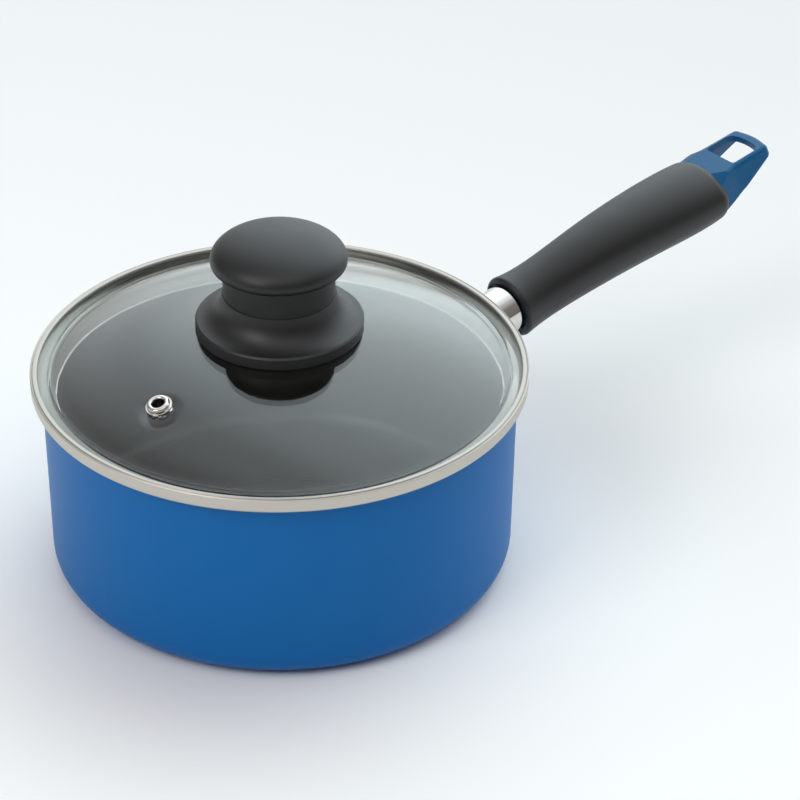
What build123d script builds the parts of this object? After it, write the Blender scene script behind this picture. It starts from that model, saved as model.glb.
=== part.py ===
from build123d import *
import os
from math import asin, cos, degrees, radians, sin, sqrt, tan

os.makedirs("parts", exist_ok=True)

# A 16 cm saucepan with a rimmed glass lid. Millimetres, +Z up, handle along +X.
# The origin is the centre of the base, on the surface that the pan stands on.

# Pan: one aluminium pressing
pan_inner_radius = 80.0      # at the rim
pan_rim_height = 71.1
pan_wall = 2.2
pan_floor = 2.8
wall_taper = 0.74            # degrees from upright, narrower at the base
base_corner = 8.6            # outside rounding between wall and base
rim_rounding = 0.7
floor_ring_radius = 36.0     # shallow pressed ring inside
floor_ring_width = 1.2
floor_ring_depth = 0.35

# Base plate: magnetic steel disc pressed into the base
plate_inset = 26.2           # from the pan's wall
plate_thickness = 0.9
plate_stands_proud = 0.4
plate_edge = 0.3             # bevel round the plate
plate_groove_spacing = 14.0  # pressed rings in the underside
plate_groove_count = 3
plate_groove_width = 1.6
plate_groove_depth = 0.25

# Lid band: rolled stainless strip that holds the edge of the glass
lid_seat_gap = 0.1           # band above the pan's rim
band_overhang = 3.8          # beyond the pan's wall
band_sheet = 0.6
band_corner = 0.9
lip_reach = 2.5              # over the edge of the glass
lip_thickness = 1.1
lip_rounding = 0.6
skirt_gap = 0.7              # skirt inside the pan's rim
skirt_drop = 6.4
skirt_draw = 1.9             # how far the skirt leans inwards
skirt_bend = 0.9             # outside, under the pan's rim
hem_width = 1.0
hem_rounding = 0.2

# Lid glass
glass_thickness = 3.1
glass_clearance = 0.1        # edge of the glass inside the band
glass_bed = 0.06             # sealant film under the glass and under the lip
glass_dome_rise = 17.0       # crown above the flat edge
glass_shoulder = 6.0         # rounding where the dome meets the flat edge
knob_hole_radius = 4.0

# Steam vent: rolled steel eyelet
vent_inset = 22.6            # from the foot of the dome
vent_azimuth = 187.3
vent_bore_radius = 2.15
vent_tube_wall = 0.5
vent_flange_radius = 4.6
vent_flange_thickness = 0.7
vent_roll_radius = 4.0
vent_roll_height = 2.1
vent_clench_radius = 4.2
vent_roll_rounding = 1.0
vent_mouth_rounding = 0.7
vent_edge_rounding = 0.15
vent_hole_clearance = 0.3
vent_seat_gap = 0.1          # flange and clenched lip, clear of the curved glass

# Knob
screw_radius = 2.5
screw_head_radius = 4.8
screw_head_height = 2.8
screw_head_rounding = 1.2
screw_slot_span = 5.2        # crossed slots for the driver
screw_slot_depth = 1.5
slot_width = 1.0
thread_clearance = 0.05
screw_clearance = 0.5
seal_thickness = 1.2
seal_film = 0.05             # between the glass and either seal
seal_radius = 9.0
washer_radius = 8.0
washer_thickness = 0.8
guard_rim_gap = 0.6          # flared rim above the glass
guard_radius = 28.9
guard_rim_height = 4.1
guard_height = 13.8
guard_wall = 3.2
guard_edge_rounding = 0.6
guard_ledge = 0.4            # top of the flare, out from the neck that sits on it
guard_ledge_rounding = 0.2
guard_brim_slope = 0.16      # rise of the brim towards the neck
guard_flare_reach = 3.4      # point that the flare passes, out from the neck
guard_flare_rise = 3.0       # and up from the brim
neck_lean = 0.12
guard_cavity_rounding = 1.5
guard_boss_radius = 9.5
neck_radius = 19.2
neck_height = 9.4
spigot_radius = 12.0
spigot_height = 1.5
spigot_clearance = 0.2
cap_radius = 23.4
cap_underside = 3.2          # from the neck up to the widest line
cap_crown = 10.0
cap_fullness = 0.55          # 0.55 is an ellipse, more is fuller
cap_flare = (0.75, 0.66)     # direction in which the underside leaves the neck
insert_radius = 4.6
insert_length = 11.0
insert_floor = 1.0
screw_end_gap = 1.0          # below the floor of the insert

# Handle: its parts lie along one line that leaves the wall radially and rises
handle_tilt = 11.0           # degrees above level
handle_root_drop = 16.4      # from the pan's rim to where that line meets the wall
boss_radius = 6.0
boss_length = 19.0
boss_foot_radius = 8.0
boss_foot_thickness = 2.4
ferrule_radius = 9.3
ferrule_sheet = 0.8
ferrule_end_thickness = 1.5
ferrule_visible = 23.2       # from the wall to the grip
ferrule_engagement = 8.0     # inside the grip
ferrule_clearance = 0.2
wall_clearance = 0.1         # ends that follow the pan's wall
bolt_radius = 2.5
bolt_head_radius = 4.0
bolt_head_height = 3.0
bolt_head_rounding = 1.2
bolt_slot_span = 4.4
bolt_slot_depth = 1.6
bolt_clearance = 0.4
spring_washer_thickness = 1.3
spring_washer_radius = 4.2
spring_washer_split = 0.8
split_angle = 35.0           # of the washer's cut, from square
thread_engagement = 13.0
thread_runout = 1.0          # drilled beyond the bolt's tip
bolt_head_recess = 1.2       # head below the loop's near wall

# Grip: (share of its length, half width, half height, drop of the centre)
grip_length = 102.3
grip_sections = (
    (0.000, 12.3, 12.3, 0.2),
    (0.185, 11.2, 11.2, 0.2),
    (0.360, 12.5, 11.6, -0.2),
    (0.555, 14.2, 12.0, 0.0),
    (0.750, 15.6, 12.2, 1.1),
    (0.888, 16.0, 11.9, 2.1),
    (1.000, 15.5, 10.4, 2.6),
)
collar_rounding = 1.6
collar_recess_radius = 10.5  # shallow step in the collar's end, round the ferrule
collar_recess_depth = 0.7
butt_rounding = 6.0

# Hanging end: painted loop set over the rounded butt of the grip
end_length = 29.6            # beyond the butt, at the drafting level
end_overlap = 3.6            # up the rounding of the butt
end_root_inset = 0.3         # oval root, inside the grip's own oval
end_root_widening = 6.0      # of that oval, from the grip to the tip
end_root_half_width = 14.8
end_neck = 7.0               # where the sides turn towards the tip
end_neck_half_width = 11.8
end_tip_half_width = 11.2
end_tip_bulge = 2.4
end_flare_rounding = 14.0
end_corner = 4.5
end_tip_rounding = 24.0
end_draft = 13.0             # degrees, the sides lean in towards the top
end_drafting_level = 5.0     # below the handle's line, where the widths are measured
end_top = 6.9                # flat top above the handle's line, at the butt
end_top_fall = 0.9           # from there to the tip
end_underside = 6.2          # below the handle's line, at the butt
end_belly = 8.0              # where the underside turns up towards the tip
end_belly_depth = 5.4
end_belly_rounding = 40.0
end_tip_underside = 3.4      # above the handle's line
end_top_rounding = 1.8
end_underside_rounding = 0.8
end_web = 3.0                # above the hollow, at the butt
end_skirt = 2.0              # wall round the hollow
tongue_length = 9.0
tongue_half_width = 9.0
tongue_half_height = 5.0
tongue_clearance = 0.2
loop_start = 8.2             # near edge of the opening, from the butt
loop_length = 14.1
loop_half_width = 7.1
loop_near_corner = 1.0
loop_far_corner = 3.2
loop_far_bulge = 1.4
loop_rounding = 0.3

# Sizes that follow from those above
pan_outer_radius = pan_inner_radius + pan_wall
plate_radius = pan_outer_radius - plate_inset
band_radius = pan_outer_radius + band_overhang
handle_root_height = pan_rim_height - handle_root_drop
pan_underside = plate_stands_proud
floor_height = pan_underside + pan_floor
taper = tan(radians(wall_taper))
band_underside = pan_rim_height + lid_seat_gap
channel_floor = band_underside + band_sheet
glass_underside = channel_floor + glass_bed
glass_edge_top = glass_underside + glass_thickness
lip_underside = glass_edge_top + glass_bed
band_top = lip_underside + lip_thickness
skirt_radius = pan_inner_radius - skirt_gap
dome_foot_radius = skirt_radius
vent_distance = dome_foot_radius - vent_inset
dome_radius = (dome_foot_radius ** 2 + glass_dome_rise ** 2) / (2 * glass_dome_rise)
crown_height = glass_edge_top + glass_dome_rise
dome_centre = crown_height - dome_radius
handle_place = Pos(pan_outer_radius, 0, handle_root_height) * Rot(0, -handle_tilt, 0)
butt_distance = ferrule_visible + grip_length
ferrule_length = ferrule_visible + ferrule_engagement
bolt_head_base = butt_distance + loop_start - bolt_head_recess - bolt_head_height
bolt_head_seat = bolt_head_base - spring_washer_thickness
vent_hole_radius = vent_bore_radius + vent_tube_wall + vent_hole_clearance
seat_height = crown_height + seal_thickness
glass_crown_underside = crown_height - glass_thickness
guard_bottom = dome_centre + sqrt(dome_radius ** 2 - guard_radius ** 2) + guard_rim_gap
guard_top = guard_bottom + guard_height
insert_base = guard_top + spigot_height + spigot_clearance


def turned(*corners):
    """A solid turned about Z from (radius, height, corner rounding) points."""
    outline = FilletPolyline(*[(r, z) for r, z, _ in corners],
                             radius=[rounding for _, _, rounding in corners], close=True)
    return revolve(Plane.XZ * make_face(outline), Axis.Z)


def along_handle(x, solid):
    """A solid made about Z, laid along the handle with its base at x."""
    return handle_place * Pos(x, 0, 0) * Rot(0, 90, 0) * solid


def upright(radius, height, base=0.0):
    """A cylinder on the Z axis from base to base + height."""
    return Pos(0, 0, base) * Cylinder(radius, height, align=(Align.CENTER, Align.CENTER, Align.MIN))


def tube(outer, inner, height, base=0.0):
    """A plain ring or tube on the Z axis."""
    return upright(outer, height, base) - upright(inner, height, base)


def wall_radius(height):
    """Outer radius of the pan at a height."""
    return pan_outer_radius - (pan_rim_height - height) * taper


def pan_envelope(growth=0.0):
    """The pan as a solid block, grown outwards, to shape what is fixed to its wall."""
    foot = (wall_radius(0) + growth, 0, 0)
    top = (pan_outer_radius + growth, pan_rim_height, 0)
    return turned((0, 0, 0), foot, top, (0, pan_rim_height, 0))


def make_pan_body():
    """Deep pressing with a rounded base corner, a floor ring and a recess for the plate."""
    outside = turned((0, pan_underside, 0), (wall_radius(pan_underside), pan_underside, base_corner),
                     (pan_outer_radius, pan_rim_height, rim_rounding), (0, pan_rim_height, 0))
    inside_foot = wall_radius(floor_height) - pan_wall
    inside = turned((0, floor_height, 0), (inside_foot, floor_height, base_corner - pan_wall),
                    (pan_inner_radius, pan_rim_height, 0), (0, pan_rim_height, 0))
    ring = tube(floor_ring_radius + floor_ring_width / 2, floor_ring_radius - floor_ring_width / 2,
                floor_ring_depth, floor_height - floor_ring_depth)
    body = outside - inside - ring - upright(plate_radius, plate_thickness)
    inner_rim = body.edges().filter_by(GeomType.CIRCLE).group_by(Axis.Z)[-1].sort_by(SortBy.RADIUS)[0]
    return fillet(inner_rim, rim_rounding)


def make_base_plate():
    """Magnetic disc that the pan stands on, with pressed rings that keep it flat."""
    plate = turned((0, 0, 0), (plate_radius - plate_edge, 0, 0), (plate_radius, plate_edge, 0),
                   (plate_radius, plate_thickness, 0), (0, plate_thickness, 0))
    for number in range(1, plate_groove_count + 1):
        middle = number * plate_groove_spacing
        plate -= tube(middle + plate_groove_width / 2, middle - plate_groove_width / 2, plate_groove_depth)
    return plate


def make_lid_band():
    """Rolled strip: lip over the glass, upright face, flange under the glass, skirt and hem."""
    lip_radius = band_radius - lip_reach
    channel_radius = band_radius - band_sheet
    skirt_foot = skirt_radius - skirt_draw
    skirt_bottom = band_underside - skirt_drop
    return turned(
        (lip_radius, lip_underside, 0),
        (lip_radius, band_top, lip_rounding),
        (band_radius, band_top, band_corner),
        (band_radius, band_underside, band_corner),
        (skirt_radius, band_underside, skirt_bend),
        (skirt_foot, skirt_bottom, hem_rounding),
        (skirt_foot - hem_width, skirt_bottom, hem_rounding),
        (skirt_foot - hem_width, skirt_bottom + band_sheet, hem_rounding),
        (skirt_foot - band_sheet, skirt_bottom + band_sheet, 0),
        (skirt_radius - band_sheet, channel_floor, skirt_bend + band_sheet),
        (channel_radius, channel_floor, 0),
        (channel_radius, lip_underside, 0),
    )


def vent_place():
    """The vent's axis, square to the glass, with its origin on the outer surface."""
    slope = degrees(asin(vent_distance / dome_radius))
    return Pos(0, 0, dome_centre) * Rot(0, 0, vent_azimuth) * Rot(0, slope, 0) * Pos(0, 0, dome_radius)


def dome_arc(radius, foot):
    """Arc of the dome from its foot up to the axis, for a surface of that radius."""
    half = asin(foot / radius) / 2
    middle = (radius * sin(half), dome_centre + radius * cos(half))
    start = (foot, dome_centre + sqrt(radius ** 2 - foot ** 2))
    return ThreePointArc(start, middle, (0, dome_centre + radius))


def make_lid_glass():
    """Pressed dome with a flat ground edge, a hole for the knob and one for the vent."""
    edge = band_radius - band_sheet - glass_clearance
    inner_radius = dome_radius - glass_thickness
    inner_foot = sqrt(inner_radius ** 2 - (glass_underside - dome_centre) ** 2)
    outer = dome_arc(dome_radius, dome_foot_radius)
    inner = dome_arc(inner_radius, inner_foot)
    rim = Polyline(outer @ 0, (edge, glass_edge_top), (edge, glass_underside), inner @ 0)
    section = make_face([outer, rim, inner, Line(inner @ 1, outer @ 1)])
    feet = section.vertices().sort_by(lambda v: abs(v.X - dome_foot_radius))[:2]
    upper_foot, lower_foot = feet.sort_by(Axis.Y)[-1], feet.sort_by(Axis.Y)[0]
    section = fillet(lower_foot, glass_shoulder + glass_thickness)
    upper_foot = section.vertices().sort_by_distance((dome_foot_radius, glass_edge_top))[0]
    section = fillet(upper_foot, glass_shoulder)
    glass = revolve(Plane.XZ * section, Axis.Z)
    knob_hole = upright(knob_hole_radius, 2 * glass_thickness, crown_height - 1.5 * glass_thickness)
    vent_hole = vent_place() * upright(vent_hole_radius, 2 * glass_thickness, -1.5 * glass_thickness)
    return glass - knob_hole - vent_hole


def make_vent_eyelet():
    """Steel eyelet rolled over above the glass and clenched below it."""
    tube_radius = vent_bore_radius + vent_tube_wall
    underside = -glass_thickness - vent_seat_gap
    eyelet = turned(
        (vent_bore_radius, underside - vent_tube_wall, 0),
        (vent_clench_radius, underside - vent_tube_wall, vent_edge_rounding),
        (vent_clench_radius, underside, 0),
        (tube_radius, underside, 0),
        (tube_radius, vent_seat_gap, 0),
        (vent_flange_radius, vent_seat_gap, 0),
        (vent_flange_radius, vent_flange_thickness, vent_edge_rounding),
        (vent_roll_radius, vent_flange_thickness, 0),
        (vent_roll_radius, vent_roll_height, vent_roll_rounding),
        (vent_bore_radius, vent_roll_height, vent_mouth_rounding),
    )
    return vent_place() * eyelet


def make_knob_guard():
    """Flared phenolic base of the knob, hollow beneath, with a boss that bears on the seal."""
    foot_radius = guard_radius - guard_wall
    boss_bottom = seat_height
    cavity_top = guard_bottom + guard_height - guard_wall - spigot_height
    waist = guard_bottom + guard_rim_height
    flare = Spline((guard_radius - guard_edge_rounding, waist),
                   (neck_radius + guard_flare_reach, waist + guard_flare_rise),
                   (neck_radius + guard_ledge, guard_top),
                   tangents=((-1, guard_brim_slope), (-neck_lean, 1)))
    outline = Polyline((0, guard_bottom), (guard_radius, guard_bottom),
                       (guard_radius, waist - guard_edge_rounding), flare @ 0)
    section = make_face([outline, flare, Polyline(flare @ 1, (0, guard_top), (0, guard_bottom))])
    ledge = section.vertices().sort_by_distance((neck_radius + guard_ledge, guard_top))[0]
    body = revolve(Plane.XZ * fillet(ledge, guard_ledge_rounding), Axis.Z)
    cavity = turned((guard_boss_radius, guard_bottom, 0), (foot_radius, guard_bottom, 0),
                    (neck_radius - guard_wall, cavity_top, guard_cavity_rounding),
                    (guard_boss_radius, cavity_top, guard_cavity_rounding))
    relief = upright(guard_boss_radius, boss_bottom - guard_bottom, guard_bottom)
    spigot = upright(spigot_radius, spigot_height, guard_top)
    passage = upright(screw_radius + screw_clearance, guard_height + spigot_height, guard_bottom)
    return body - cavity - relief + spigot - passage


def make_knob_cap():
    """Mushroom cap and its neck in one phenolic moulding, with a pocket for the insert."""
    widest = guard_top + neck_height + cap_underside
    crown = widest + cap_crown
    underside = Spline((neck_radius, widest - cap_underside), (cap_radius, widest),
                       tangents=(cap_flare, (0, 1)))
    dome = Bezier((cap_radius, widest), (cap_radius, widest + cap_fullness * cap_crown),
                  (cap_fullness * cap_radius, crown), (0, crown))
    neck = Polyline((0, crown), (0, guard_top), (neck_radius, guard_top), underside @ 0)
    cap = revolve(Plane.XZ * make_face([neck, underside, dome]), Axis.Z)
    recess = upright(spigot_radius + spigot_clearance, spigot_height + spigot_clearance, guard_top)
    pocket = upright(insert_radius, insert_length, insert_base)
    return cap - recess - pocket


def make_knob_insert():
    """Threaded brass insert moulded into the cap."""
    barrel = upright(insert_radius, insert_length, insert_base)
    return barrel - upright(screw_radius + thread_clearance, insert_length - insert_floor, insert_base)


def make_knob_screw():
    """Pan-head screw that comes up through the glass into the insert."""
    head_top = glass_crown_underside - seal_thickness - washer_thickness
    head = turned((0, head_top - screw_head_height, 0),
                  (screw_head_radius, head_top - screw_head_height, screw_head_rounding),
                  (screw_head_radius, head_top, 0), (0, head_top, 0))
    shank_length = insert_base + insert_length - insert_floor - screw_end_gap - head_top
    slots = cross_recess(screw_slot_span, screw_slot_depth, head_top - screw_head_height)
    return head + upright(screw_radius, shank_length, head_top) - slots


def cross_recess(span, depth, base):
    """The crossed driver slots of a screw head, opening downwards at base."""
    slot = Box(span, slot_width, depth, align=(Align.CENTER, Align.CENTER, Align.MIN))
    return Pos(0, 0, base) * (slot + Rot(0, 0, 90) * slot)


def make_knob_washer():
    """Steel washer between the screw's head and the lower seal."""
    base = glass_crown_underside - seal_thickness - washer_thickness
    return tube(washer_radius, screw_radius + screw_clearance, washer_thickness, base)


def make_upper_seal():
    """Silicone ring squeezed between the domed glass and the guard's boss."""
    ring = tube(seal_radius, knob_hole_radius, seal_thickness * 2, seat_height - seal_thickness * 2)
    return ring - Pos(0, 0, dome_centre) * Sphere(dome_radius + seal_film)


def make_lower_seal():
    """Silicone ring between the washer and the underside of the dome."""
    ring = tube(seal_radius, knob_hole_radius, seal_thickness, glass_crown_underside - seal_thickness)
    return ring & Pos(0, 0, dome_centre) * Sphere(dome_radius - glass_thickness - seal_film)


def make_handle_boss():
    """Threaded stud boss with a broad foot, welded to the wall."""
    inset = boss_foot_radius
    foot = along_handle(-inset, upright(boss_foot_radius, inset + boss_foot_thickness))
    barrel = along_handle(-inset, upright(boss_radius, inset + boss_length))
    depth = thread_engagement + thread_runout
    thread = along_handle(boss_length - depth, upright(bolt_radius + thread_clearance, depth))
    return foot + barrel - thread - pan_envelope()


def make_handle_ferrule():
    """Bright steel cup over the boss, its open end cut to the curve of the wall."""
    inset = ferrule_radius
    shell = along_handle(-inset, upright(ferrule_radius, inset + ferrule_length))
    hollow = along_handle(-inset, upright(ferrule_radius - ferrule_sheet,
                                          inset + ferrule_length - ferrule_end_thickness))
    passage = along_handle(0, upright(bolt_radius + bolt_clearance, ferrule_length))
    return shell - hollow - passage - pan_envelope(wall_clearance)


def lofted_ovals(sections):
    """A smooth body through ovals (height, half width, half height, drop) about Z."""
    ovals = [Pos(drop, 0, height) * Rot(0, 0, 90) * Ellipse(half_width, half_height)
             for height, half_width, half_height, drop in sections]
    return loft(Sketch() + ovals)


def grip_outside():
    """The grip's outer form, with its collar and its rounded butt."""
    form = lofted_ovals([(share * grip_length, *oval) for share, *oval in grip_sections])
    form = fillet(form.faces().sort_by(Axis.Z)[0].edges(), collar_rounding)
    form = fillet(form.faces().sort_by(Axis.Z)[-1].edges(), butt_rounding)
    return along_handle(ferrule_visible, form)


def make_handle_grip():
    """Phenolic grip: collar, waist and a broad butt, bored for the ferrule, bolt and tongue."""
    socket = along_handle(ferrule_visible, upright(ferrule_radius + ferrule_clearance,
                                                   ferrule_engagement + ferrule_clearance))
    recess = along_handle(ferrule_visible, upright(collar_recess_radius, collar_recess_depth))
    passage = along_handle(ferrule_visible, upright(bolt_radius + bolt_clearance, grip_length))
    return grip_outside() - socket - recess - passage - tongue(tongue_clearance)


def tongue(growth=0.0):
    """Oval tongue of the hanging end inside the butt; grown, the pocket that takes it."""
    oval = Ellipse(tongue_half_height + growth, tongue_half_width + growth)
    length = tongue_length + growth
    return along_handle(butt_distance - length, extrude(oval, length))


def end_outline():
    """The hanging end from above: flared root, near-parallel sides, gently curved tip."""
    tip_corner = end_length - end_tip_bulge
    root = -end_overlap - (end_drafting_level + end_top) * tan(radians(end_draft))
    sides = FilletPolyline(
        (root, -end_root_half_width), (end_neck, -end_neck_half_width),
        (tip_corner, -end_tip_half_width), (end_length, 0), (tip_corner, end_tip_half_width),
        (end_neck, end_neck_half_width), (root, end_root_half_width),
        radius=[end_flare_rounding, end_corner, end_tip_rounding, end_corner, end_flare_rounding])
    return make_face([sides, Line(sides @ 1, sides @ 0)])


def loop_opening():
    """The opening from above: square at the grip, rounded and bulging at the tip."""
    far_edge = loop_start + loop_length
    shoulder = far_edge - loop_far_bulge
    sides = Polyline((shoulder, -loop_half_width), (loop_start, -loop_half_width),
                     (loop_start, loop_half_width), (shoulder, loop_half_width))
    opening = make_face([sides, ThreePointArc((shoulder, -loop_half_width), (far_edge, 0),
                                              (shoulder, loop_half_width))])
    opening = fillet(opening.vertices().group_by(Axis.X)[-1], loop_far_corner)
    return fillet(opening.vertices().group_by(Axis.X)[0], loop_near_corner)


def end_root():
    """Oval envelope of the root: flush with the butt, opening out towards the tip."""
    _, half_width, half_height, drop = grip_sections[-1]
    flush, wide = [(half_width + growth - end_root_inset, half_height + growth - end_root_inset, drop)
                   for growth in (0, end_root_widening)]
    return Rot(0, 90, 0) * lofted_ovals([(-end_overlap, *flush), (end_length, *wide)])


def end_hollow():
    """The hollow round and under the opening, open below, its walls parallel to the outside."""
    depth = end_drafting_level + end_underside
    inset = end_skirt - end_underside * tan(radians(end_draft))
    outline = offset(end_outline(), -inset, kind=Kind.INTERSECTION)
    outline &= Pos(loop_start, 0) * Rectangle(end_length, 4 * end_root_half_width,
                                              align=(Align.MIN, Align.CENTER))
    return extrude(Pos(0, 0, -depth) * outline, depth + end_top - end_web, taper=end_draft)


def end_profile(margin):
    """The hanging end from the side: flat top, belly and an underside that rises to the tip."""
    rise = (end_belly_depth + end_tip_underside) / (end_length - end_belly)
    fall = end_top_fall / end_length
    drop = (end_underside - end_belly_depth) / end_belly
    back, front = -end_overlap - 2 * margin, end_length + margin
    underside = FilletPolyline((back, -end_underside + back * drop), (end_belly, -end_belly_depth),
                               (front, (front - end_belly) * rise - end_belly_depth),
                               radius=end_belly_rounding)
    top = Line((back, end_top - back * fall), (front, end_top - front * fall))
    return make_face([underside, top, Line(underside @ 0, top @ 0), Line(underside @ 1, top @ 1)])


def make_hanging_end():
    """Painted loop: oval root, drafted sides, flat top, hollow underside, opening and tongue."""
    margin = end_underside
    base = end_drafting_level + margin
    outline = offset(end_outline(), margin * tan(radians(end_draft)), kind=Kind.INTERSECTION)
    tab = extrude(Pos(0, 0, -base) * outline, base + end_top + margin, taper=end_draft)
    tab &= extrude(Plane.XZ * end_profile(margin), end_root_half_width + margin, both=True)
    for side, rounding in ((0, end_underside_rounding), (-1, end_top_rounding)):
        face = tab.faces().filter_by(lambda face: abs(face.normal_at().Z) > 0.7).sort_by(Axis.Z)[side]
        tab = fillet(face.edges().filter_by(lambda edge: edge.bounding_box().max.X > 0), rounding)
    tab &= end_root()
    tab -= extrude(Pos(0, 0, -base) * loop_opening(), base + end_top)
    tab -= end_hollow()
    flat_top = tab.faces().filter_by(lambda face: face.normal_at().Z > 0.7).sort_by(Axis.Z)[-1]
    tab = fillet(flat_top.inner_wires()[0].edges(), loop_rounding)
    end = handle_place * Pos(butt_distance, 0, 0) * tab - grip_outside() + tongue()
    passage = along_handle(butt_distance - tongue_length,
                           upright(bolt_radius + bolt_clearance, tongue_length + loop_start))
    head_pocket = along_handle(bolt_head_seat, upright(spring_washer_radius + bolt_clearance, loop_start))
    return end - passage - head_pocket


def make_handle_bolt():
    """Long bolt from the loop's near wall through the grip into the boss."""
    tip = boss_length - thread_engagement
    shank = upright(bolt_radius, bolt_head_base - tip, tip)
    head = turned((0, bolt_head_base, 0), (bolt_head_radius, bolt_head_base, 0),
                  (bolt_head_radius, bolt_head_base + bolt_head_height, bolt_head_rounding),
                  (0, bolt_head_base + bolt_head_height, 0))
    slots = Pos(0, 0, bolt_head_base + bolt_head_height) * Rot(180, 0, 0) * cross_recess(
        bolt_slot_span, bolt_slot_depth, 0)
    return along_handle(0, shank + head - slots)


def make_spring_washer():
    """Split spring washer under the bolt's head."""
    ring = tube(spring_washer_radius, bolt_radius + bolt_clearance / 2,
                spring_washer_thickness, bolt_head_seat)
    cutter = Rot(split_angle, 0, 0) * Box(spring_washer_radius, spring_washer_split,
                                          3 * spring_washer_thickness)
    middle = Pos(spring_washer_radius / 2, 0, bolt_head_seat + spring_washer_thickness / 2)
    return along_handle(0, ring - middle * cutter)


makers = {
    "pan_body": make_pan_body,
    "base_plate": make_base_plate,
    "handle_boss": make_handle_boss,
    "handle_ferrule": make_handle_ferrule,
    "handle_grip": make_handle_grip,
    "hanging_end": make_hanging_end,
    "handle_bolt": make_handle_bolt,
    "bolt_spring_washer": make_spring_washer,
    "lid_band": make_lid_band,
    "lid_glass": make_lid_glass,
    "vent_eyelet": make_vent_eyelet,
    "knob_guard": make_knob_guard,
    "knob_cap": make_knob_cap,
    "knob_insert": make_knob_insert,
    "knob_screw": make_knob_screw,
    "knob_washer": make_knob_washer,
    "knob_upper_seal": make_upper_seal,
    "knob_lower_seal": make_lower_seal,
}

for name, make in makers.items():
    export_step(make(), f"parts/{name}.step")
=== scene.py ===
import bmesh
import bpy
from math import cos, radians, sin, sqrt, tan
from mathutils import Matrix, Vector


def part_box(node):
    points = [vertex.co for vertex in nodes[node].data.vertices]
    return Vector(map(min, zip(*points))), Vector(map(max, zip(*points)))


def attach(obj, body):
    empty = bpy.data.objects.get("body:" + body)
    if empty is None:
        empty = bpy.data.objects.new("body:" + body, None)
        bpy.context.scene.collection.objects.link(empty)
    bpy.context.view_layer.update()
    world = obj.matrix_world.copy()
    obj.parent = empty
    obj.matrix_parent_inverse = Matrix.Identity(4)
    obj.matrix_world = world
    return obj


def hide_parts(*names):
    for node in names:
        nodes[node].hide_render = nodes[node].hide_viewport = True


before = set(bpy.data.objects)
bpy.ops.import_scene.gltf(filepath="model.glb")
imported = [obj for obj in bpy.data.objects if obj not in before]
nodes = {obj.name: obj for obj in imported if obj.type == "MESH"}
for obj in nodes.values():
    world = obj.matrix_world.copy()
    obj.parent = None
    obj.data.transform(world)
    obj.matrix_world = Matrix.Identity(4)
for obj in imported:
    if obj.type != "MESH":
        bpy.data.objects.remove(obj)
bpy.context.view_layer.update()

# -------------------------------------------------------------------------------------------------
# Pan body: one deep aluminium pressing, turned smooth. Outside it is sprayed and stoved with blue
# enamel, which flows out to a soft gloss with a faint peel. Inside it is rolled with a grainy,
# nearly black non-stick. The two finishes meet on top of the rim, under the lid.

MM = 0.001
pan_inner_radius = 80.0 * MM
finishes_meet = pan_inner_radius + 0.3 * MM
enamel_peel = 1.4 * MM           # width of one swell of the sprayed coat
enamel_peel_depth = 0.05 * MM
enamel_cloud = 30.0 * MM         # slow change of gloss along the wall
nonstick_grain = 0.7 * MM        # coarser than the real grit, which is too fine to show
nonstick_grain_depth = 0.004 * MM
pressed_ring_radius = 36.0 * MM  # groove in the floor, coloured darker as painted shade in it
pressed_ring_width = 2.2 * MM
pressed_ring_sink = 0.4 * MM


def hex_colour(code):
    """A linear RGBA colour from an sRGB hex value."""
    values = [int(code[i:i + 2], 16) / 255 for i in (0, 2, 4)]
    return [v / 12.92 if v <= 0.04045 else ((v + 0.055) / 1.055) ** 2.4 for v in values] + [1.0]


def add_node(tree, kind, settings=None, inputs=None):
    """Adds a node to the tree, with its settings, and values or other nodes' outputs on its inputs."""
    made = tree.nodes.new(kind)
    for name, value in (settings or {}).items():
        setattr(made, name, value)
    for name, value in (inputs or {}).items():
        if isinstance(value, bpy.types.NodeSocket):
            tree.links.new(value, made.inputs[name])
        else:
            made.inputs[name].default_value = value
    return made


def new_finish(name):
    """An empty material, and its node tree."""
    finish = bpy.data.materials.new(name)
    finish.use_nodes = True
    finish.node_tree.nodes.clear()
    return finish, finish.node_tree


def from_axis(tree):
    """The way out from the pan's upright axis to the place being shaded, and its length."""
    place = add_node(tree, "ShaderNodeTexCoord").outputs["Object"]
    way = add_node(tree, "ShaderNodeVectorMath", {"operation": "MULTIPLY"}, {0: place, 1: (1, 1, 0)})
    length = add_node(tree, "ShaderNodeVectorMath", {"operation": "LENGTH"}, {0: way.outputs[0]})
    return way.outputs[0], length.outputs["Value"]


def patchy(tree, patch, detail, low, high):
    """A roughness that drifts between two values, in patches of that size."""
    place = add_node(tree, "ShaderNodeTexCoord").outputs["Object"]
    noise = add_node(tree, "ShaderNodeTexNoise", None,
                     {"Vector": place, "Scale": 1 / patch, "Detail": detail})
    drift = add_node(tree, "ShaderNodeMapRange", None,
                     {"Value": noise.outputs["Fac"], "To Min": low, "To Max": high})
    return drift.outputs[0]


def coat(finish, shader, *pieces):
    """Closes a finish with its shader and puts it on the pieces."""
    add_node(finish.node_tree, "ShaderNodeOutputMaterial", None, {"Surface": shader.outputs[0]})
    for piece in pieces:
        piece.data.materials.clear()
        piece.data.materials.append(finish)


pan_finish, tree = new_finish("stoved_enamel_and_nonstick")
place = add_node(tree, "ShaderNodeTexCoord").outputs["Object"]
way_out, radius = from_axis(tree)

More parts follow.
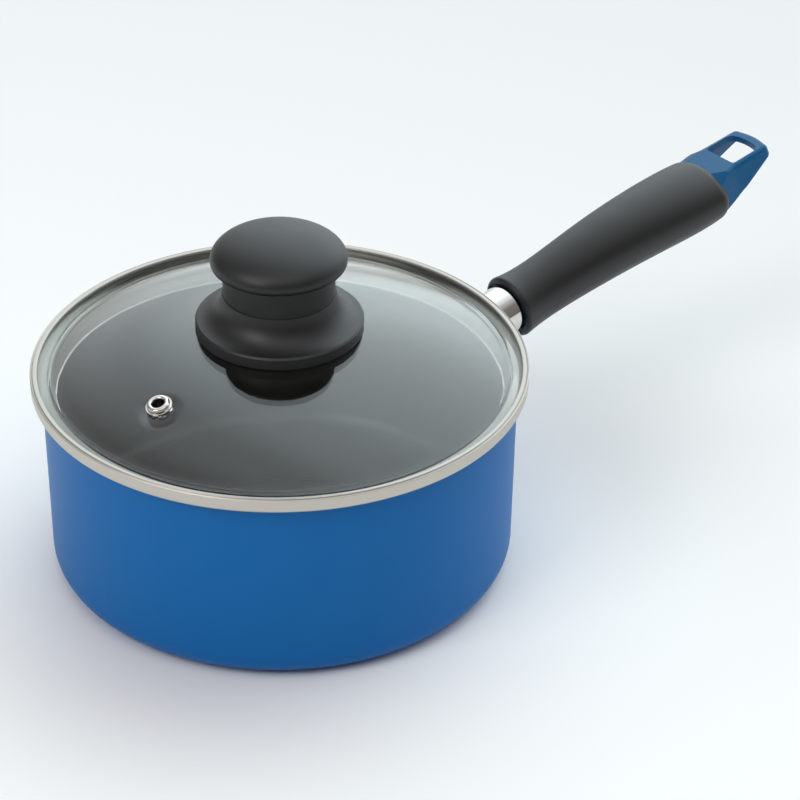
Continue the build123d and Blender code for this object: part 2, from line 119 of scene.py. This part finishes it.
# The bowl's skin faces up or in to the axis. The outer skin faces down or out.
outward = add_node(tree, "ShaderNodeVectorMath", {"operation": "NORMALIZE"}, {0: way_out})
skin = add_node(tree, "ShaderNodeNewGeometry").outputs["True Normal"]
skin_out = add_node(tree, "ShaderNodeVectorMath", {"operation": "DOT_PRODUCT"},
                    {0: skin, 1: outward.outputs[0]})
skin_up = add_node(tree, "ShaderNodeSeparateXYZ", None, {"Vector": skin})
bowl_side = add_node(tree, "ShaderNodeMath", {"operation": "GREATER_THAN"},
                     {0: skin_up.outputs["Z"], 1: skin_out.outputs["Value"]})
within_wall = add_node(tree, "ShaderNodeMath", {"operation": "LESS_THAN"}, {0: radius, 1: finishes_meet})
inside = add_node(tree, "ShaderNodeMath", {"operation": "MULTIPLY"},
                  {0: bowl_side.outputs[0], 1: within_wall.outputs[0]})

peel = add_node(tree, "ShaderNodeTexNoise", None,
                {"Vector": place, "Scale": 1 / enamel_peel, "Detail": 1.0})
swells = add_node(tree, "ShaderNodeBump", None,
                  {"Strength": 0.1, "Distance": enamel_peel_depth, "Height": peel.outputs["Fac"]})
enamel = add_node(tree, "ShaderNodeBsdfPrincipled", None,
                  {"Base Color": hex_colour("0B68AF"),
                   "Roughness": patchy(tree, enamel_cloud, detail=2.0, low=0.4, high=0.47), "IOR": 1.5,
                   "Specular IOR Level": 0.15, "Normal": swells.outputs[0]})

grit = add_node(tree, "ShaderNodeTexNoise", None,
                {"Vector": place, "Scale": 1 / nonstick_grain, "Detail": 2.0})
grain = add_node(tree, "ShaderNodeBump", None,
                 {"Strength": 0.04, "Distance": nonstick_grain_depth, "Height": grit.outputs["Fac"]})
from_ring = add_node(tree, "ShaderNodeMath", {"operation": "SUBTRACT"},
                     {0: radius, 1: pressed_ring_radius})
off_ring = add_node(tree, "ShaderNodeMath", {"operation": "ABSOLUTE"}, {0: from_ring.outputs[0]})
# Painted shade: the groove in the floor is coloured darker for the shade that falls in it. The same mask
# also sinks the groove by bump.
groove_and_painted_shade = add_node(tree, "ShaderNodeMapRange", {"interpolation_type": "SMOOTHSTEP"},
                   {"Value": off_ring.outputs[0], "From Max": pressed_ring_width / 2})
sunk = add_node(tree, "ShaderNodeBump", None,
                {"Strength": 1.0, "Distance": pressed_ring_sink, "Height": groove_and_painted_shade.outputs[0],
                 "Normal": grain.outputs[0]})
black = add_node(tree, "ShaderNodeMix", {"data_type": "RGBA"},
                 {"Factor": groove_and_painted_shade.outputs[0], 6: hex_colour("060505"), 7: hex_colour("272423")})
nonstick = add_node(tree, "ShaderNodeBsdfPrincipled", None,
                    {"Base Color": black.outputs[2], "Roughness": 0.32, "IOR": 1.38,
                     "Normal": sunk.outputs[0]})
coats = add_node(tree, "ShaderNodeMixShader", None,
                 {0: inside.outputs[0], 1: enamel.outputs[0], 2: nonstick.outputs[0]})
coat(pan_finish, coats, nodes["pan_body"])

# -------------------------------------------------------------------------------------------------
# Base plate: a disc of magnetic stainless steel rolled into the base, faced on a lathe. The facing
# tool leaves fine rings round the centre, which draw a lit plate's highlight into a bow-tie.

facing_pitch = 0.45 * MM         # tool feed, drawn coarse enough to show
facing_depth = 0.03 * MM

plate_finish, tree = new_finish("lathe_faced_stainless")
_, radius = from_axis(tree)
rings = add_node(tree, "ShaderNodeTexNoise", {"noise_dimensions": "1D"},
                 {"W": radius, "Scale": 1 / facing_pitch, "Detail": 2.0})
bump = add_node(tree, "ShaderNodeBump", None,
                {"Strength": 0.25, "Distance": facing_depth, "Height": rings.outputs["Fac"]})
gloss = add_node(tree, "ShaderNodeMapRange", None,
                 {"Value": rings.outputs["Fac"], "To Min": 0.26, "To Max": 0.4})
steel = add_node(tree, "ShaderNodeBsdfPrincipled", None,
                 {"Base Color": hex_colour("B9B7B2"), "Metallic": 1.0, "Roughness": gloss.outputs[0],
                  "Normal": bump.outputs[0]})
coat(plate_finish, steel, nodes["base_plate"])

# -------------------------------------------------------------------------------------------------
# Ferrule and vent eyelet: drawn and rolled from stainless strip, then barrel polished. The polish
# mirrors the room with only a faint haze. The boss behind the ferrule is turned from aluminium.

polish_haze = 2.5 * MM
turning_mark = 0.5 * MM          # feed of the lathe that turns the boss and the knob's insert

bright_finish, tree = new_finish("barrel_polished_stainless")
steel = add_node(tree, "ShaderNodeBsdfPrincipled", None,
                 {"Base Color": hex_colour("D9D6D2"), "Metallic": 1.0,
                  "Roughness": patchy(tree, polish_haze, detail=3.0, low=0.05, high=0.16)})
coat(bright_finish, steel, nodes["handle_ferrule"], nodes["vent_eyelet"])

boss_finish, tree = new_finish("turned_aluminium")
alloy = add_node(tree, "ShaderNodeBsdfPrincipled", None,
                 {"Base Color": hex_colour("D6D7D8"), "Metallic": 1.0,
                  "Roughness": patchy(tree, turning_mark, detail=2.0, low=0.28, high=0.42)})
coat(boss_finish, alloy, nodes["handle_boss"])

# -------------------------------------------------------------------------------------------------
# Grip, knob cap and knob guard: black phenolic, compression moulded in a fine-blasted tool. The
# blasted skin breaks the highlights up into a satin sheen, and handling leaves it slightly uneven.

mould_grit = 0.45 * MM           # the tool's blasting, drawn coarser than the real one
mould_grit_depth = 0.03 * MM
handling_patch = 9.0 * MM
handle_slope = radians(11.0)     # the grip's line, from level
handle_foot = (82.2 * MM, 54.7 * MM)  # where that line starts, out from the axis and up
mould_line_width = 0.7 * MM      # flash left where the two halves of the tool meet
mould_line_height = 0.12 * MM
mould_line_drop = 1.2 * MM       # how far the flash starts below the grip's line
mould_line_fall = 0.028          # and how fast it falls away from it, towards the butt

grip_finish, tree = new_finish("blast_moulded_phenolic")
place = add_node(tree, "ShaderNodeTexCoord").outputs["Object"]
grit = add_node(tree, "ShaderNodeTexNoise", None,
                {"Vector": place, "Scale": 1 / mould_grit, "Detail": 2.0})
blast = add_node(tree, "ShaderNodeBump", None,
                 {"Strength": 0.4, "Distance": mould_grit_depth, "Height": grit.outputs["Fac"]})
line_up = (-sin(handle_slope) + mould_line_fall, 0, cos(handle_slope))
line_level = line_up[0] * handle_foot[0] + line_up[2] * handle_foot[1] - mould_line_drop
above_line = add_node(tree, "ShaderNodeVectorMath", {"operation": "DOT_PRODUCT"}, {0: place, 1: line_up})
off_line = add_node(tree, "ShaderNodeMath", {"operation": "SUBTRACT"},
                    {0: above_line.outputs["Value"], 1: line_level})
line_gap = add_node(tree, "ShaderNodeMath", {"operation": "ABSOLUTE"}, {0: off_line.outputs[0]})
flash = add_node(tree, "ShaderNodeMapRange", {"interpolation_type": "SMOOTHSTEP"},
                 {"Value": line_gap.outputs[0], "From Max": mould_line_width / 2,
                  "To Min": 1.0, "To Max": 0.0})
bump = add_node(tree, "ShaderNodeBump", None,
                {"Strength": 1.0, "Distance": mould_line_height, "Height": flash.outputs[0],
                 "Normal": blast.outputs[0]})
tone = add_node(tree, "ShaderNodeMix", {"data_type": "RGBA"},
                {"Factor": grit.outputs["Fac"], 6: hex_colour("161617"), 7: hex_colour("1B1B1C")})
phenolic = add_node(tree, "ShaderNodeBsdfPrincipled", None,
                    {"Base Color": tone.outputs[2],
                     "Roughness": patchy(tree, handling_patch, detail=3.0, low=0.4, high=0.48),
                     "IOR": 1.6, "Specular IOR Level": 0.4, "Normal": bump.outputs[0]})
coat(grip_finish, phenolic, nodes["handle_grip"], nodes["knob_guard"], nodes["knob_cap"])

# -------------------------------------------------------------------------------------------------
# Hanging end: a moulded nylon loop in the pan's blue, spigotted into the butt of the grip. The tool
# is polished, so the skin is glossier than the grip, with a slight flow.

nylon_flow = 6.0 * MM

end_finish, tree = new_finish("polished_moulded_nylon")
nylon = add_node(tree, "ShaderNodeBsdfPrincipled", None,
                 {"Base Color": hex_colour("00588A"),
                  "Roughness": patchy(tree, nylon_flow, detail=2.0, low=0.24, high=0.32), "IOR": 1.53,
                  "Specular IOR Level": 0.2})
coat(end_finish, nylon, nodes["hanging_end"])

# -------------------------------------------------------------------------------------------------
# Handle bolt, its spring washer, the knob's screw and washer: steel, cold headed or stamped, zinc
# plated and passivated clear. The plating dries with a slight bloom.

zinc_bloom = 1.5 * MM

zinc_finish, tree = new_finish("clear_zinc_plate")
zinc = add_node(tree, "ShaderNodeBsdfPrincipled", None,
                {"Base Color": hex_colour("C3C6C9"), "Metallic": 1.0,
                 "Roughness": patchy(tree, zinc_bloom, detail=3.0, low=0.22, high=0.4)})
coat(zinc_finish, zinc, nodes["handle_bolt"], nodes["bolt_spring_washer"], nodes["knob_screw"],
     nodes["knob_washer"])

# -------------------------------------------------------------------------------------------------
# Lid band: stainless strip rolled round the glass in one closed section, its side buffed bright
# afterwards. The rollers leave hairlines round the lid, dull the lip and the flange that they grip,
# and mark a crease round the top corner, where the lip is turned in.

band_low, band_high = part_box("lid_band")
band_radius, band_foot, band_top = band_high[0], band_low[2], band_high[2]
band_sheet = 0.6 * MM
lip_reach = 2.5 * MM             # in over the glass
lip_depth = 1.1 * MM             # from the top of the band to the lip's underside
crease_inner = 0.95 * MM         # in from the band's side
crease_middle = 0.65 * MM
crease_outer = 0.3 * MM
crease_depth = 0.45 * MM
crease_step = 0.1 * MM           # its outer side lies lower than the lip
side_top = 0.4 * MM              # where the band's side starts, down from the top
seat_gap = 0.1 * MM              # between the pan's rim and the flange
skirt_play = 0.7 * MM            # between the skirt and the pan's wall
skirt_draw = 1.9 * MM            # how much narrower the skirt is at its foot
skirt_bend = 0.9 * MM
hem_width = 1.0 * MM
band_facets = 240                # round the lid
bend_facets = 4                  # round each bend
hairline = 0.25 * MM             # the rollers' lines, drawn coarse enough to show
hairline_depth = 0.02 * MM
dulled_from = 79.0 * MM          # radius where the rollers' grip starts
buffed_corner = 0.7 * MM         # how far in over the corner the buff reaches
buff_fade = 0.3 * MM
flange_dish = 0.8 * MM           # how far the rollers press the flange down towards its bend

lip_edge = band_radius - lip_reach
lip_underside = band_top - lip_depth
flange_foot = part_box("pan_body")[1][2] + seat_gap
flange_top = flange_foot + band_sheet
skirt_top_radius = pan_inner_radius - skirt_play
skirt_foot_radius = skirt_top_radius - skirt_draw
hem_edge = skirt_foot_radius - hem_width
hem_top = band_foot + band_sheet
dulled_to = band_radius - buffed_corner

band_section = [  # radius, height, rounding
    (lip_edge, lip_underside, 0.25 * MM),
    (lip_edge, band_top, 0.5 * MM),
    (band_radius - crease_inner, band_top, 0.1 * MM),
    (band_radius - crease_middle, band_top - crease_depth, 0.08 * MM),
    (band_radius - crease_outer, band_top - crease_step, 0.1 * MM),
    (band_radius, band_top - side_top, 0.2 * MM),
    (band_radius, flange_foot, 0.9 * MM),
    (skirt_top_radius, flange_foot, skirt_bend),
    (skirt_foot_radius, band_foot, 0.2 * MM),
    (hem_edge, band_foot, 0.2 * MM),
    (hem_edge, hem_top, 0.2 * MM),
    (skirt_foot_radius - band_sheet, hem_top, 0.1 * MM),
    (skirt_top_radius - band_sheet, flange_top, skirt_bend + band_sheet),
    (band_radius - band_sheet, flange_top, 0.1 * MM),
    (band_radius - band_sheet, lip_underside, 0.1 * MM),
]


def bend(before, corner, after, rounding):
    """Points of the arc that rounds a corner of a section, from one side to the other."""
    back, ahead = (before - corner).normalized(), (after - corner).normalized()
    half = back.angle(ahead) / 2
    middle = corner + (back + ahead).normalized() * rounding / sin(half)
    start = corner + back * rounding / tan(half) - middle
    end = corner + ahead * rounding / tan(half) - middle
    turn = start.angle_signed(end)
    return [middle + Matrix.Rotation(-turn * step / bend_facets, 2) @ start
            for step in range(bend_facets + 1)]


def swept(section, facets):
    """The points, edges and faces of a closed section of radii and heights, swept round the axis."""
    count = len(section)
    angles = [radians(360 * step / facets) for step in range(facets)]
    points = [(reach * cos(angle), reach * sin(angle), height)
              for angle in angles for reach, height in section]
    faces = []
    for step in range(facets):
        here, there = step * count, (step + 1) % facets * count
        for number in range(count):
            following = (number + 1) % count
            faces.append((here + number, here + following, there + following, there + number))
    return points, [], faces


corners = [Vector(corner[:2]) for corner in band_section]
outline = []
for number, corner in enumerate(corners):
    outline += bend(corners[number - 1], corner, corners[(number + 1) % len(corners)],
                    band_section[number][2])
band_mesh = bpy.data.meshes.new("rolled_lid_band")
band_mesh.from_pydata(*swept(outline, band_facets))
band_mesh.shade_smooth()
rolled_band = bpy.data.objects.new("rolled_lid_band", band_mesh)
bpy.context.scene.collection.objects.link(rolled_band)
rolled_band.modifiers.new("flat_between_bends", "WEIGHTED_NORMAL")
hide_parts("lid_band")
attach(rolled_band, "lid")

band_finish, tree = new_finish("rolled_stainless_strip")
place = add_node(tree, "ShaderNodeTexCoord").outputs["Object"]
_, radius = from_axis(tree)
height = add_node(tree, "ShaderNodeSeparateXYZ", None, {"Vector": place}).outputs["Z"]
strip = add_node(tree, "ShaderNodeCombineXYZ", None, {"X": radius, "Y": height})
lines = add_node(tree, "ShaderNodeTexNoise", None,
                 {"Vector": strip.outputs[0], "Scale": 1 / hairline, "Detail": 2.0})
hairlines = add_node(tree, "ShaderNodeBump", None,
                     {"Strength": 0.12, "Distance": hairline_depth, "Height": lines.outputs["Fac"]})
across_flange = add_node(tree, "ShaderNodeMapRange", None,
                         {"Value": radius, "From Min": dulled_from, "From Max": lip_edge})
bump = add_node(tree, "ShaderNodeBump", None,
                {"Strength": 1.0, "Distance": flange_dish, "Height": across_flange.outputs[0],
                 "Normal": hairlines.outputs[0]})
gloss = add_node(tree, "ShaderNodeMapRange", None,
                 {"Value": lines.outputs["Fac"], "To Min": 0.42, "To Max": 0.54})
from_flange = add_node(tree, "ShaderNodeMath", {"operation": "SUBTRACT"},
                       {0: radius, 1: (dulled_from + dulled_to) / 2})
off_flange = add_node(tree, "ShaderNodeMath", {"operation": "ABSOLUTE"}, {0: from_flange.outputs[0]})
buffed = add_node(tree, "ShaderNodeMapRange", None,
                  {"Value": off_flange.outputs[0], "From Min": (dulled_to - dulled_from) / 2,
                   "From Max": (dulled_to - dulled_from) / 2 + buff_fade})
shine = add_node(tree, "ShaderNodeMix", {"data_type": "RGBA"},
                 {"Factor": buffed.outputs[0], 6: hex_colour("B3AEA9"), 7: hex_colour("C8C3BB")})
steel = add_node(tree, "ShaderNodeBsdfPrincipled", None,
                 {"Base Color": shine.outputs[2], "Metallic": 1.0, "Roughness": gloss.outputs[0],
                  "Normal": bump.outputs[0]})
coat(band_finish, steel, rolled_band)

# -------------------------------------------------------------------------------------------------
# Lid glass: soda-lime sheet, ground at the edge, sagged over a former and tempered. It is clear,
# with the faint green of its iron and a slow waviness from the former.

glass_low, glass_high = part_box("lid_glass")
glass_edge, glass_foot = glass_high[0], glass_low[2]
glass_thickness = 3.1 * MM
ground_edge = 0.4 * MM           # rounding of the edge
dome_foot = skirt_top_radius
dome_rise = 17.0 * MM
shoulder = 6.0 * MM              # bend between the dome and the flat rim
knob_hole_radius = 4.0 * MM
vent_hole_radius = 2.95 * MM
dome_rings = 36                  # down one face of the dome
glass_facets = 180               # round the lid
drill_facets = 48
drill_length = 4 * glass_thickness
former_wave = 45.0 * MM
former_wave_depth = 0.3 * MM
shoulder_fall = 2.6 * MM         # the rim sags on past the dome, under the lip
vent_dimple = 9.0 * MM           # the glass sinks a little round the drilled hole
vent_dimple_middle = 0.3 * vent_dimple
vent_dimple_depth = 0.5 * MM

rim_top = glass_foot + glass_thickness
dome_radius = (dome_foot ** 2 + dome_rise ** 2) / (2 * dome_rise)
dome_centre = rim_top + dome_rise - dome_radius
inner_radius = dome_radius - glass_thickness
inner_foot = sqrt(inner_radius ** 2 - (glass_foot - dome_centre) ** 2)
inner_shoulder = shoulder + glass_thickness


def dome_face(curve, last):
    """Points down one face of the dome, from the knob's hole to a little above its foot."""
    width = last - knob_hole_radius
    spread = [knob_hole_radius + width * ring / dome_rings for ring in range(dome_rings + 1)]
    return [Vector((reach, dome_centre + sqrt(curve ** 2 - reach ** 2))) for reach in spread]


outer_face = dome_face(dome_radius, dome_foot - shoulder / 2)
inner_face = dome_face(inner_radius, inner_foot - inner_shoulder / 2)
upper_foot, lower_foot = Vector((dome_foot, rim_top)), Vector((inner_foot, glass_foot))
upper_edge, lower_edge = Vector((glass_edge, rim_top)), Vector((glass_edge, glass_foot))
outline = (outer_face
           + bend(outer_face[-1], upper_foot, upper_edge, shoulder)
           + bend(upper_foot, upper_edge, lower_edge, ground_edge)
           + bend(upper_edge, lower_edge, lower_foot, ground_edge)
           + bend(lower_edge, lower_foot, inner_face[-1], inner_shoulder)
           + inner_face[::-1])
glass_mesh = bpy.data.meshes.new("pressed_lid_glass")
glass_mesh.from_pydata(*swept(outline, glass_facets))
glass_mesh.shade_smooth()
pressed_glass = bpy.data.objects.new("pressed_lid_glass", glass_mesh)
bpy.context.scene.collection.objects.link(pressed_glass)

# The vent's hole is drilled square to the dome, where the eyelet sits.
vent_low, vent_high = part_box("vent_eyelet")
vent_middle = Vector([(low + high) / 2 for low, high in zip(vent_low, vent_high)])
drill_line = (vent_middle - Vector((0, 0, dome_centre))).normalized()
drill_turn = drill_line.to_track_quat("Z", "Y").to_matrix().to_4x4()
drill_mesh = bpy.data.meshes.new("vent_drill")
drill_form = bmesh.new()
bmesh.ops.create_cone(drill_form, cap_ends=True, segments=drill_facets, radius1=vent_hole_radius,
                      radius2=vent_hole_radius, depth=drill_length)
drill_form.to_mesh(drill_mesh)
drill_form.free()
drill_mesh.transform(Matrix.Translation(vent_middle) @ drill_turn)
drill = bpy.data.objects.new("vent_drill", drill_mesh)
bpy.context.scene.collection.objects.link(drill)
drilling = pressed_glass.modifiers.new("drilled_vent", "BOOLEAN")
drilling.object = drill
drilling.solver = "EXACT"
drilled = pressed_glass.evaluated_get(bpy.context.evaluated_depsgraph_get())
pressed_glass.data = bpy.data.meshes.new_from_object(drilled)
pressed_glass.modifiers.clear()
bpy.data.objects.remove(drill)
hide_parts("lid_glass")
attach(pressed_glass, "lid")

glass_finish, tree = new_finish("tempered_soda_lime_glass")
place = add_node(tree, "ShaderNodeTexCoord").outputs["Object"]
_, radius = from_axis(tree)
wave = add_node(tree, "ShaderNodeTexNoise", None,
                {"Vector": place, "Scale": 1 / former_wave, "Detail": 1.0})
waves = add_node(tree, "ShaderNodeBump", None,
                 {"Strength": 0.3, "Distance": former_wave_depth, "Height": wave.outputs["Fac"]})
towards_rim = add_node(tree, "ShaderNodeMapRange", None,
                       {"Value": radius, "From Min": dome_foot, "From Max": band_radius,
                        "To Min": 1.0, "To Max": 0.0})
skin = add_node(tree, "ShaderNodeNewGeometry").outputs["True Normal"]
skin_up = add_node(tree, "ShaderNodeSeparateXYZ", None, {"Vector": skin})
which_face = add_node(tree, "ShaderNodeMath", {"operation": "SIGN"}, {0: skin_up.outputs["Z"]})
fall = add_node(tree, "ShaderNodeMath", {"operation": "MULTIPLY"},
                {0: towards_rim.outputs[0], 1: which_face.outputs[0]})
sagged = add_node(tree, "ShaderNodeBump", None,
                  {"Strength": 1.0, "Distance": shoulder_fall, "Height": fall.outputs[0],
                   "Normal": waves.outputs[0]})
from_vent = add_node(tree, "ShaderNodeVectorMath", {"operation": "DISTANCE"}, {0: place, 1: vent_middle})
dimple = add_node(tree, "ShaderNodeMapRange", {"interpolation_type": "SMOOTHSTEP"},
                  {"Value": from_vent.outputs["Value"], "From Min": vent_dimple_middle,
                   "From Max": vent_dimple})
bump = add_node(tree, "ShaderNodeBump", None,
                {"Strength": 1.0, "Distance": vent_dimple_depth, "Height": dimple.outputs[0],
                 "Normal": sagged.outputs[0]})
clear = add_node(tree, "ShaderNodeBsdfPrincipled", None,
                 {"Base Color": hex_colour("F5F9F9"), "Transmission Weight": 1.0, "Roughness": 0.0,
                  "IOR": 1.5, "Normal": bump.outputs[0]})
lamp_light = add_node(tree, "ShaderNodeBsdfTransparent", None, {"Color": hex_colour("F0F6F4")})
ray = add_node(tree, "ShaderNodeLightPath")
pane = add_node(tree, "ShaderNodeMixShader", None,
                {0: ray.outputs["Is Shadow Ray"], 1: clear.outputs[0], 2: lamp_light.outputs[0]})
coat(glass_finish, pane, pressed_glass)

# -------------------------------------------------------------------------------------------------
# Knob fastening: a turned brass insert, moulded into the cap, takes the screw. Two grey silicone
# seals keep the guard and the washer off the glass. They are moulded, and hold a little dust.

silicone_dust = 0.8 * MM

brass_finish, tree = new_finish("turned_brass")
brass = add_node(tree, "ShaderNodeBsdfPrincipled", None,
                 {"Base Color": hex_colour("D9B76E"), "Metallic": 1.0,
                  "Roughness": patchy(tree, turning_mark, detail=2.0, low=0.22, high=0.34)})
coat(brass_finish, brass, nodes["knob_insert"])

seal_finish, tree = new_finish("moulded_silicone")
place = add_node(tree, "ShaderNodeTexCoord").outputs["Object"]
dust = add_node(tree, "ShaderNodeTexNoise", None,
                {"Vector": place, "Scale": 1 / silicone_dust, "Detail": 2.0})
tone = add_node(tree, "ShaderNodeMix", {"data_type": "RGBA"},
                {"Factor": dust.outputs["Fac"], 6: hex_colour("96989A"), 7: hex_colour("A8AAAC")})
silicone = add_node(tree, "ShaderNodeBsdfPrincipled", None,
                    {"Base Color": tone.outputs[2], "Roughness": 0.6, "IOR": 1.41})
coat(seal_finish, silicone, nodes["knob_upper_seal"], nodes["knob_lower_seal"])

# -------------------------------------------------------------------------------------------------
# Studio: white paper on the table, a bright diffusing wall behind and a dim room in front. Four soft
# lamps stand above, at the left side and over both of the camera's shoulders.

paper_reach = 6.0
pan_middle = Vector((0, 0, 50.0 * MM))
wall_strength = 2.25
wall_steps = [  # angle from the wall's middle, share of its brightness, colour
    (180, 0.08, "E8D4C6"),
    (100, 0.09, "E8D4C6"),
    (68, 0.12, "F2EAE4"),
    (56, 0.25, "FAFAF8"),
    (44, 0.50, "F4FCFF"),
    (31, 0.82, "F0FCFF"),
    (18, 1.0, "F0FCFF"),
]
camera_place = (-0.5362, -0.7035, 0.6152)
camera_heading = radians(-40)
camera_look_down = radians(32.10)
camera_roll = radians(0.59)

paper_mesh = bpy.data.meshes.new("studio_paper")
paper_mesh.from_pydata([(-paper_reach, -paper_reach, 0), (paper_reach, -paper_reach, 0),
                        (paper_reach, paper_reach, 0), (-paper_reach, paper_reach, 0)], [],
                       [(0, 1, 2, 3)])
paper = bpy.data.objects.new("studio_paper", paper_mesh)
bpy.context.scene.collection.objects.link(paper)
paper_finish, tree = new_finish("matt_white_paper")
matt = add_node(tree, "ShaderNodeBsdfPrincipled", None,
                {"Base Color": hex_colour("FAFAFA"), "Roughness": 0.95})
coat(paper_finish, matt, paper)


def towards(heading, elevation):
    """The unit direction with that heading from +X and that elevation, in degrees."""
    return Vector((cos(radians(heading)) * cos(radians(elevation)),
                   sin(radians(heading)) * cos(radians(elevation)),
                   sin(radians(elevation))))


wall_middle = towards(25, 36)
studio = bpy.data.worlds.new("studio")
bpy.context.scene.world = studio
studio.use_nodes = True
tree = studio.node_tree
tree.nodes.clear()
look = add_node(tree, "ShaderNodeTexCoord").outputs["Generated"]
facing = add_node(tree, "ShaderNodeVectorMath", {"operation": "DOT_PRODUCT"}, {0: look, 1: wall_middle})
nearness = add_node(tree, "ShaderNodeMapRange", None,
                    {"Value": facing.outputs["Value"], "From Min": -1.0})
ramp = add_node(tree, "ShaderNodeValToRGB", None, {"Fac": nearness.outputs[0]})
ramp.color_ramp.interpolation = "EASE"
steps = ramp.color_ramp.elements
while len(steps) < len(wall_steps):
    steps.new(1.0)
for step, (angle, share, tint) in zip(steps, wall_steps):
    step.position = (1 + cos(radians(angle))) / 2
    step.color = [share * part for part in hex_colour(tint)[:3]] + [1.0]
light = add_node(tree, "ShaderNodeBackground", None,
                 {"Color": ramp.outputs[0], "Strength": wall_strength})
add_node(tree, "ShaderNodeOutputWorld", None, {"Surface": light.outputs[0]})
bpy.context.scene.view_settings.view_transform = "Standard"


def soft_lamp(name, heading, elevation, distance, size, power):
    """A square soft lamp that looks at the pan."""
    lamp = bpy.data.lights.new(name, "AREA")
    lamp.shape = "SQUARE"
    lamp.size = size
    lamp.energy = power
    stand = bpy.data.objects.new(name, lamp)
    stand.location = towards(heading, elevation) * distance + pan_middle
    stand.rotation_euler = towards(heading, elevation).to_track_quat("Z", "Y").to_euler()
    bpy.context.scene.collection.objects.link(stand)


soft_lamp("overhead_lamp", heading=235, elevation=60, distance=1.4, size=0.9, power=2.5)
soft_lamp("left_side_lamp", heading=150, elevation=25, distance=1.6, size=1.2, power=1.5)
soft_lamp("left_shoulder_lamp", heading=185, elevation=42, distance=1.3, size=0.6, power=4.5)
soft_lamp("right_shoulder_lamp", heading=278, elevation=52, distance=1.3, size=0.5, power=0.6)

camera_data = bpy.data.cameras.new("camera")
camera_data.lens = 135
camera_data.sensor_width = 36
camera = bpy.data.objects.new("camera", camera_data)
camera.matrix_world = (Matrix.Translation(camera_place) @ Matrix.Rotation(camera_heading, 4, "Z")
                       @ Matrix.Rotation(radians(90) - camera_look_down, 4, "X")
                       @ Matrix.Rotation(camera_roll, 4, "Z"))
bpy.context.scene.collection.objects.link(camera)
bpy.context.scene.camera = camera
